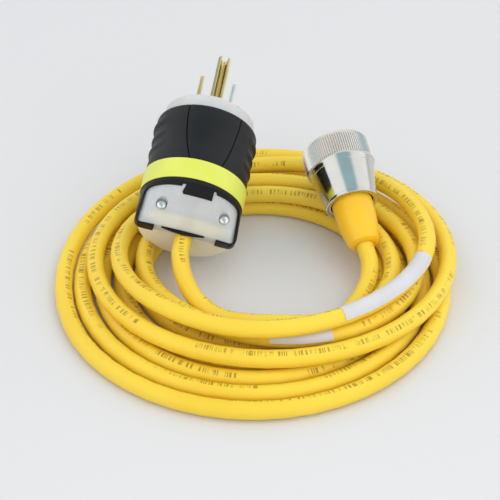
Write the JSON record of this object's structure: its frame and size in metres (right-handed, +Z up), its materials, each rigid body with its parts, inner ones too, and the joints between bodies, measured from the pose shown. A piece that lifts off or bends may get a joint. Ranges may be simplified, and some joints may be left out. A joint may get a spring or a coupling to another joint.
{
  "type": "shore power cord",
  "caption": "Coiled yellow power cord with a grounded straight-blade plug that has an indicator lamp, and a screw-coupling socket connector at the other end.",
  "frame": {"origin": "centre of the coil, on the surface that it lies on", "axes": "+Z up, +Y from the label side of the coil to the side that the plug and the connector point to, +X to the right seen from the label side"},
  "size_m": [0.1504, 0.1464, 0.0629],
  "materials": {
    "black_plastic": "satin",
    "white_plastic": "semi-gloss",
    "clear_white_plastic": "semi-gloss, milky",
    "band_yellow": "satin",
    "screw_steel": "satin",
    "brass": "satin",
    "nickel_blade": "satin",
    "wire_black": "satin",
    "wire_white": "satin",
    "wire_green": "satin",
    "board_green": "satin",
    "lamp_glass": "clear",
    "cord_yellow": "satin",
    "label_white": "satin film",
    "boot_yellow": "satin",
    "insert_black": "satin",
    "seal_rubber": "matte",
    "contact_gold": "polished",
    "nut_nickel": "satin nickel plate"
  },
  "bodies": {
    "cord_set": {"plug_sleeve": "black_plastic", "plug_body": "white_plastic", "plug_band": "band_yellow", "clamp_upper": "clear_white_plastic", "clamp_lower": "white_plastic", "clamp_screws": "screw_steel", "blade_hot": "brass", "blade_neutral": "nickel_blade", "ground_pin": "brass", "terminal_blocks": "brass", "terminal_screws": "screw_steel", "plug_wire_hot": "wire_black", "plug_wire_neutral": "wire_white", "plug_wire_ground": "wire_green", "indicator_board": "board_green", "indicator_lamp": "lamp_glass", "plug_jacket_end": "cord_yellow", "cord_plug_tail": "cord_yellow", "cord_coil": "cord_yellow", "cord_connector_tail": "cord_yellow", "cord_label": "label_white", "connector_jacket_end": "cord_yellow", "connector_boot": "boot_yellow", "connector_wires": "wire_black", "connector_core": "insert_black", "connector_gasket": "seal_rubber", "nut_retainer": "screw_steel", "socket_hot": "contact_gold", "socket_neutral": "contact_gold", "socket_ground": "contact_gold"},
    "nut": {"coupling_nut": "nut_nickel"}
  },
  "joints": [
    {"name": "nut_spin", "type": "hinge", "parent": "cord_set", "child": "nut", "pos_m": [0.03634, 0.02068, 0.0216], "axis": [-0.2243, 0.8996, 0.3746], "continuous": true}
  ]
}
